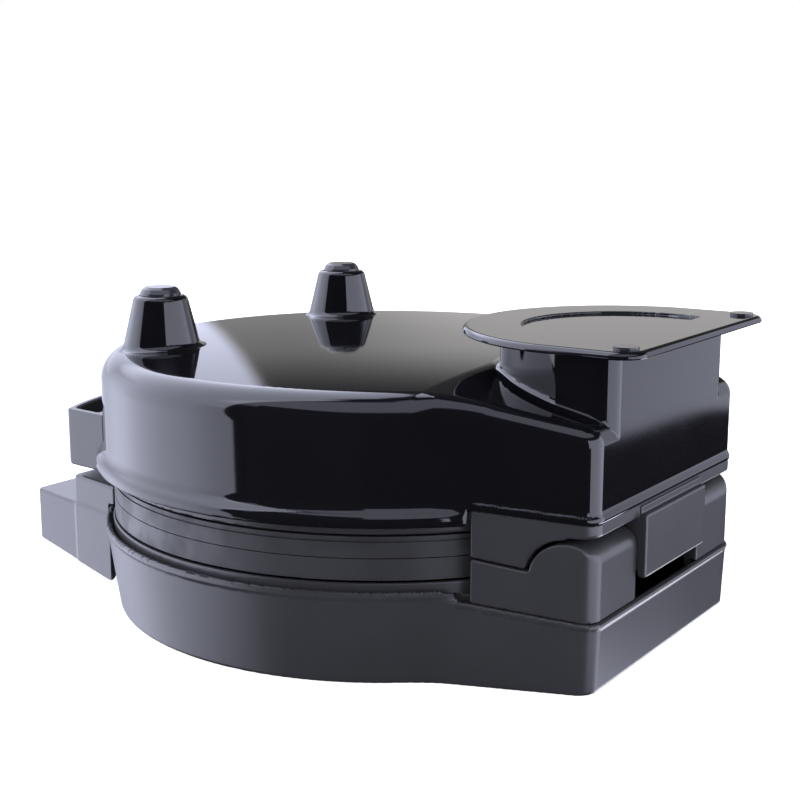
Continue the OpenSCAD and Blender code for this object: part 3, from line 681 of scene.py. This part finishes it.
class Nodes:
    """Short way to wire a node tree."""

    def __init__(self, tree):
        self.tree = tree

    def add(self, kind, inputs=None, **settings):
        """A node with its inputs linked or set, and its other settings."""
        node = self.tree.nodes.new(kind)
        for key, value in settings.items():
            setattr(node, key, value)
        for key, value in (inputs or {}).items():
            if isinstance(value, bpy.types.NodeSocket):
                self.tree.links.new(value, node.inputs[key])
            else:
                node.inputs[key].default_value = value
        return node

    def math(self, operation, a, b=0.0):
        """One step of arithmetic; b stays unused where the operation takes one value."""
        node = self.add("ShaderNodeMath", {0: a, 1: b}, operation=operation)
        return node.outputs[0]

    def join(self, operation, first, *others):
        """The same operation between all values, from the first to the last."""
        for other in others:
            first = self.math(operation, first, other)
        return first

    def smooth(self, value, low, high, to_low=0.0, to_high=1.0):
        """A soft step between two values."""
        node = self.add("ShaderNodeMapRange", {
            "Value": value, "From Min": low, "From Max": high,
            "To Min": to_low, "To Max": to_high}, interpolation_type="SMOOTHSTEP")
        return node.outputs["Result"]

    def band(self, value, low, high, soft_low, soft_high):
        """1 between two bounds and 0 outside them, with soft ends."""
        return self.math("MULTIPLY", self.smooth(value, low - soft_low, low + soft_low),
                         self.smooth(value, high - soft_high, high + soft_high, 1, 0))

    def tint(self, mask, colour, dark, pale):
        """A colour that drifts a little from darker to paler."""
        node = self.add("ShaderNodeMixRGB", {
            "Fac": mask, "Color1": (*[c * dark for c in colour], 1),
            "Color2": (*[c * pale for c in colour], 1)})
        return node.outputs[0]

    def noise(self, scale, detail, rough):
        """Noise that is fixed to the piece; scale is in cells to the metre."""
        place = self.add("ShaderNodeTexCoord").outputs["Object"]
        node = self.add("ShaderNodeTexNoise", {
            "Vector": place, "Scale": scale, "Detail": detail, "Roughness": rough})
        return node.outputs["Fac"]


def new_material(name):
    """An empty node material."""
    material = bpy.data.materials.new(name)
    material.use_nodes = True
    material.node_tree.nodes.clear()
    return material, Nodes(material.node_tree)


def plastic(name, colour, rough, spread, grain, grain_depth, wave_depth=0.0):
    """Moulded plastic: gloss that varies a little, fine grain and slow waves in the surface."""
    material, n = new_material(name)
    dust = n.noise(scale=40, detail=6, rough=0.6)
    scuffs = n.noise(scale=900, detail=3, rough=0.7)
    fine = n.noise(scale=grain, detail=2, rough=0.5)
    slow = n.noise(scale=22, detail=1, rough=0.4)
    mixed = n.math("MULTIPLY", n.math("ADD", dust, scuffs), 0.5)
    rough_map = n.smooth(mixed, 0.3, 0.7, rough - spread, rough + spread)
    waves = n.add("ShaderNodeBump", {"Strength": 1.0, "Distance": wave_depth, "Height": slow})
    bump = n.add("ShaderNodeBump", {
        "Strength": 1.0, "Distance": grain_depth, "Height": fine, "Normal": waves.outputs[0]})
    shader = n.add("ShaderNodeBsdfPrincipled", {
        "Base Color": n.tint(dust, colour, 0.85, 1.2), "Roughness": rough_map,
        "Normal": bump.outputs[0]})
    n.add("ShaderNodeOutputMaterial", {"Surface": shader.outputs[0]})
    return material


def metal(name, colour, rough, grain, grain_depth, metallic=1.0):
    """Metal with a fine grain and patches of duller skin."""
    material, n = new_material(name)
    patch = n.noise(scale=60, detail=5, rough=0.6)
    fine = n.noise(scale=grain, detail=3, rough=0.6)
    rough_map = n.smooth(patch, 0.3, 0.7, rough * 0.8, rough * 1.25)
    bump = n.add("ShaderNodeBump", {"Strength": 1.0, "Distance": grain_depth, "Height": fine})
    shader = n.add("ShaderNodeBsdfPrincipled", {
        "Base Color": n.tint(patch, colour, 0.8, 1.15), "Roughness": rough_map,
        "Metallic": metallic, "Normal": bump.outputs[0]})
    n.add("ShaderNodeOutputMaterial", {"Surface": shader.outputs[0]})
    return material


def finishes():
    """One material for each slot of the record."""
    f = finish()
    return {
        "gloss_black": plastic("Polished black plastic", f.gloss_black, rough=f.gloss,
                               spread=0.015, grain=2500, grain_depth=2 * MICRON,
                               wave_depth=20 * MICRON),
        "satin_black": plastic("Satin black plastic", f.satin_black, rough=f.satin,
                               spread=0.015, grain=3500, grain_depth=MICRON),
        "rubber": plastic("Rubber", f.rubber, rough=0.17, spread=0.04, grain=2400,
                          grain_depth=4 * MICRON),
        "ceramic": plastic("Glazed ceramic", (0.7, 0.67, 0.58), rough=0.3, spread=0.05,
                           grain=900, grain_depth=10 * MICRON),
        "wire": plastic("Silicone sleeve", (0.05, 0.045, 0.045), rough=0.5, spread=0.05,
                        grain=1500, grain_depth=10 * MICRON),
        "cast_plate": metal("Coated cast metal", f.cast, rough=0.5, grain=1800,
                            grain_depth=30 * MICRON, metallic=0.0),
        "heater": metal("Heater sheath", (0.22, 0.2, 0.18), rough=0.45, grain=900,
                        grain_depth=20 * MICRON),
        "sheet": metal("Zinc plated sheet", (0.6, 0.61, 0.63), rough=0.32, grain=700,
                       grain_depth=10 * MICRON),
        "steel": metal("Plated steel", (0.55, 0.55, 0.56), rough=0.28, grain=900,
                       grain_depth=10 * MICRON),
        "brass": metal("Sintered bronze", (0.5, 0.34, 0.16), rough=0.38, grain=1200,
                       grain_depth=20 * MICRON),
    }


def paint(obj, material):
    """Puts one finish on every slot of a piece."""
    if not obj.material_slots:
        obj.data.materials.append(material)
    for slot in obj.material_slots:
        slot.link = "OBJECT"
        slot.material = material


def slot_of(obj):
    """The record's slot name that a CAD node's own material carries."""
    return obj.material_slots[0].material.name.split(".")[0]


# ---------- operators ----------

class CONEMAKER_OT_base_cover(bpy.types.Operator):
    """Mould the base cover with its posts and cord tower"""
    bl_idname = "conemaker.base_cover"
    bl_label = "Base cover"

    def execute(self, context):
        low, high = (-109, -109, 52), (109, 120, 115)
        obj = moulded("base_cover_shell", base_shell, low, high, sizes().cell, "base", "base_cover")
        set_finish(obj, "gloss_black")
        return {"FINISHED"}


class CONEMAKER_OT_lid_cover(bpy.types.Operator):
    """Mould the lid cover"""
    bl_idname = "conemaker.lid_cover"
    bl_label = "Lid cover"

    def execute(self, context):
        low, high = (-107, -107, 0), (107, 120, 33)
        obj = moulded("lid_cover_shell", lid_shell, low, high, sizes().cell, "lid", "lid_cover")
        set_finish(obj, "satin_black")
        return {"FINISHED"}


class CONEMAKER_OT_cord_plate(bpy.types.Operator):
    """Mould the cord plate"""
    bl_idname = "conemaker.cord_plate"
    bl_label = "Cord plate"

    def execute(self, context):
        low, high = (-57, 43, 102.5), (57, 131, 110)
        obj = moulded("cord_plate_shell", cord_plate_field, low, high, FINE_CELL, "base",
                      "cord_plate")
        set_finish(obj, "gloss_black")
        return {"FINISHED"}


class CONEMAKER_OT_handles(bpy.types.Operator):
    """Mould the lid handle and the base grip"""
    bl_idname = "conemaker.handles"
    bl_label = "Handles"

    def execute(self, context):
        obj = moulded("lid_handle_moulding", handle_field, (-63, -142, 0), (63, -60, 40),
                      sizes().cell * 0.9, "lid", "lid_handle")
        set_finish(obj, "satin_black")
        obj = moulded("base_grip_moulding", grip_field, (-60, -127, 43), (60, -82, 67),
                      sizes().cell * 0.7, "base", "base_grip")
        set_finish(obj, "satin_black")
        return {"FINISHED"}


class CONEMAKER_OT_bezels(bpy.types.Operator):
    """Mould the bezels of both halves with their ears, side plates and knuckle"""
    bl_idname = "conemaker.bezels"
    bl_label = "Bezels"

    def execute(self, context):
        obj = moulded("lid_bezel", lid_frame_field, (-103, -103, 18), (103, 119.5, 50),
                      sizes().cell * 0.8, "lid", "lid_frame")
        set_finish(obj, "satin_black")
        obj = moulded("base_bezel", base_frame_field, (-103, -103, 28), (103, 121, 59),
                      sizes().cell * 0.8, "base", "base_frame")
        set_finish(obj, "satin_black")
        return {"FINISHED"}


class CONEMAKER_OT_finishes(bpy.types.Operator):
    """Give every piece its finish"""
    bl_idname = "conemaker.finishes"
    bl_label = "Finishes"

    def execute(self, context):
        made = finishes()
        for obj in frame["nodes"].values():
            paint(obj, made[slot_of(obj)])
        for obj in bpy.data.objects:
            if obj.get("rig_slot"):
                paint(obj, made[obj["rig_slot"]])
        return {"FINISHED"}


# ---------- studio: lengths in metres, directions in degrees ----------

FLOOR_SIZE = 12
FLAG_X = 0.128
FLAG_Y = (0.012, 0.075)
FLAG_Z = (0.05, 0.12)
WHITE = (1, 1, 1, 1)
CARD_TINT = (0.84, 0.87, 1.08, 1)
ROOM_TINT = (0.98, 0.96, 0.95, 1)
ROOM_LEVEL = 0.03


class CONEMAKER_OT_studio(bpy.types.Operator):
    """Build the floor, the light and the camera"""
    bl_idname = "conemaker.studio"
    bl_label = "Studio"

    def execute(self, context):
        context.scene.view_settings.view_transform = "Standard"
        build_floor()
        build_flag()
        build_world()
        build_camera()
        return {"FINISHED"}


def build_floor():
    """White floor to the camera, plain pale floor to the light; gloss doesn't mirror it."""
    bpy.ops.mesh.primitive_plane_add(size=FLOOR_SIZE)
    floor = bpy.context.object
    floor.name = "studio_floor"
    floor.visible_glossy = False
    material, n = new_material("White floor")
    diffuse = n.add("ShaderNodeBsdfDiffuse", {"Color": (0.8, 0.8, 0.8, 1)})
    glow = n.add("ShaderNodeEmission", {"Color": WHITE, "Strength": 0.86})
    seen = n.add("ShaderNodeLightPath").outputs["Is Camera Ray"]
    bright = n.add("ShaderNodeAddShader", {0: diffuse.outputs[0], 1: glow.outputs[0]})
    shown = n.add("ShaderNodeMixShader", {
        0: seen, 1: diffuse.outputs[0], 2: bright.outputs[0]})
    n.add("ShaderNodeOutputMaterial", {"Surface": shown.outputs[0]})
    floor.data.materials.append(material)


def build_flag():
    """A dark flag that only the tower's side mirrors."""
    front, rear = FLAG_Y
    low, high = FLAG_Z
    outline = ((front, low), (rear, low), (rear, high), (front, high))
    corners = [(FLAG_X, y, z) for y, z in outline]
    mesh = bpy.data.meshes.new("studio_flag")
    mesh.from_pydata(corners, [], [(0, 1, 2, 3)])
    flag = bpy.data.objects.new("studio_flag", mesh)
    bpy.context.scene.collection.objects.link(flag)
    flag.visible_camera = False
    flag.visible_diffuse = False
    flag.visible_shadow = False
    material, n = new_material("Black flag")
    black = n.add("ShaderNodeEmission", {"Color": CARD_TINT, "Strength": 0.05})
    n.add("ShaderNodeOutputMaterial", {"Surface": black.outputs[0]})
    mesh.materials.append(material)


def left_card(n, turn, rise, leaning):
    """The large card at the left; it is strongest beside the object and above it."""
    level = n.math("MULTIPLY", n.smooth(turn, -120, -82, 1.1, 3.6),
                   n.smooth(turn, -50, -27, 1, 0.72))
    level = n.join("MAXIMUM", level, n.smooth(rise, -4, 3, 0, 1.6), n.smooth(rise, 6, 26, 0, 3.6))
    level = n.math("MULTIPLY", level, n.smooth(rise, -38, -17, 0.45, 1))
    area = n.math("MULTIPLY", n.band(leaning, -136.3, -26.5, 0.5, 0.6),
                  n.band(rise, -40, 80, 5, 4))
    return n.math("MULTIPLY", level, area)


def rear_card(n, turn, rise):
    """The grey card behind the object, which stands on a sill that is lower in the middle."""
    sill = n.math("MAXIMUM", n.smooth(turn, 66, 74, -12.3, -25),
                  n.smooth(turn, 143, 150, -25, -13))
    sill = n.math("ADD", sill, n.smooth(turn, 153, 159, 0, 1.6))
    above = n.smooth(n.math("SUBTRACT", rise, sill), 0, 0.5)
    area = n.math("MULTIPLY", n.band(turn, 57, 172, 1, 3),
                  n.math("MULTIPLY", above, n.smooth(rise, 20, 28, 1, 0)))
    return n.math("MULTIPLY", area, n.smooth(turn, 140, 152, 3.2, 1.15))


def low_card(n, turn, rise):
    """The small card low behind the object."""
    area = n.math("MULTIPLY", n.band(turn, 130, 182, 8, 8), n.band(rise, -46, -26, 4, 2))
    return n.math("MULTIPLY", area, 4.6)


def horizon_glow(n, turn, rise, far):
    """The pale room just over the horizon, which the deck mirrors."""
    level = n.math("ADD", n.smooth(turn, -140, -150, 0.34, 0.7), n.smooth(turn, 100, 101, 0, 0.36))
    return n.math("MULTIPLY", n.math("MULTIPLY", far, level),
                  n.math("MULTIPLY", n.smooth(rise, 9.5, 17.0, 1, 0.05), n.smooth(rise, -1, 0)))


def high_box(n, rise, x, y):
    """The soft box high over the camera's side."""
    facing = n.math("ADD", n.math("MULTIPLY", x, 0.822), n.math("MULTIPLY", y, 0.569))
    area = n.math("MULTIPLY", n.smooth(rise, 36, 44), n.smooth(facing, 0.06, 0.2))
    return n.math("MULTIPLY", area, 1.5)


def build_world():
    """White to the camera, even to diffuse light, and a ring of cards to gloss.

    The cards are placed by direction, in degrees: turn about Z from +X, rise from the floor.
    """
    world = bpy.data.worlds.new("Studio cards")
    bpy.context.scene.world = world
    world.use_nodes = True
    world.node_tree.nodes.clear()
    n = Nodes(world.node_tree)
    way = n.add("ShaderNodeTexCoord").outputs["Generated"]
    x, y, z = n.add("ShaderNodeSeparateXYZ", {0: way}).outputs
    turn = n.math("DEGREES", n.math("ARCTAN2", y, x))
    rise = n.math("DEGREES", n.math("ARCSINE", z))
    leaning = n.math("ADD", turn, n.math("MULTIPLY", rise, 0.17))
    far = n.math("ADD", n.smooth(leaning, -136, -136.8), n.smooth(turn, 169, 172))
    far = n.math("MINIMUM", far, 1.0)

    strength = n.join(
        "ADD", left_card(n, turn, rise, leaning), rear_card(n, turn, rise),
        low_card(n, turn, rise), horizon_glow(n, turn, rise, far), high_box(n, rise, x, y),
        ROOM_LEVEL)
    tint = n.add("ShaderNodeMixRGB", {"Fac": far, "Color1": CARD_TINT, "Color2": ROOM_TINT})
    cards = n.add("ShaderNodeBackground", {"Color": tint.outputs[0], "Strength": strength})
    plain = n.add("ShaderNodeBackground", {"Color": (0.97, 0.98, 1.0, 1), "Strength": 0.8})
    white = n.add("ShaderNodeBackground", {"Color": WHITE, "Strength": 1.0})
    path = n.add("ShaderNodeLightPath").outputs
    lit = n.add("ShaderNodeMixShader", {
        0: path["Is Diffuse Ray"], 1: cards.outputs[0], 2: plain.outputs[0]})
    shown = n.add("ShaderNodeMixShader", {
        0: path["Is Camera Ray"], 1: lit.outputs[0], 2: white.outputs[0]})
    n.add("ShaderNodeOutputWorld", {"Surface": shown.outputs[0]})


def build_camera():
    """Camera at its place, turned and tilted towards the object."""
    s = studio()
    data = bpy.data.cameras.new("Camera")
    data.lens = s.lens
    data.sensor_width = 36
    data.clip_start = 0.01
    camera = bpy.data.objects.new("Camera", data)
    bpy.context.scene.collection.objects.link(camera)
    level = math.cos(s.tilt)
    back = Vector((math.sin(s.azimuth) * level, -math.cos(s.azimuth) * level, math.sin(s.tilt)))
    camera.location = s.place
    camera.rotation_euler = back.to_track_quat("Z", "Y").to_euler()
    bpy.context.scene.camera = camera


# ---------- panel and registration ----------

class CONEMAKER_PT_panel(bpy.types.Panel):
    """Lists the operators and settings"""
    bl_idname = "CONEMAKER_PT_panel"
    bl_label = "Cone maker"
    bl_space_type = "VIEW_3D"
    bl_region_type = "UI"
    bl_category = "Cone maker"

    def draw(self, context):
        for step in STEPS:
            self.layout.operator(step.bl_idname)
        for group in (sizes(), finish(), studio()):
            for name in group.bl_rna.properties.keys():
                if name not in ("rna_type", "name"):
                    self.layout.prop(group, name)


STEPS = (CONEMAKER_OT_base_cover, CONEMAKER_OT_lid_cover, CONEMAKER_OT_cord_plate,
         CONEMAKER_OT_handles, CONEMAKER_OT_bezels, CONEMAKER_OT_finishes, CONEMAKER_OT_studio)
GROUPS = {"cone_maker_sizes": ConeMakerSizes, "cone_maker_finish": ConeMakerFinish,
          "cone_maker_studio": ConeMakerStudio}


def register():
    for name, group in GROUPS.items():
        bpy.utils.register_class(group)
        setattr(bpy.types.Scene, name, bpy.props.PointerProperty(type=group))
    for item in (*STEPS, CONEMAKER_PT_panel):
        bpy.utils.register_class(item)


def unregister():
    for item in reversed((*STEPS, CONEMAKER_PT_panel)):
        bpy.utils.unregister_class(item)
    for name, group in GROUPS.items():
        delattr(bpy.types.Scene, name)
        bpy.utils.unregister_class(group)


def main():
    register()
    bpy.ops.conemaker.base_cover()
    bpy.ops.conemaker.lid_cover()
    bpy.ops.conemaker.cord_plate()
    bpy.ops.conemaker.handles()
    bpy.ops.conemaker.bezels()
    bpy.ops.conemaker.finishes()
    bpy.ops.conemaker.studio()


if __name__ == "__main__":
    main()
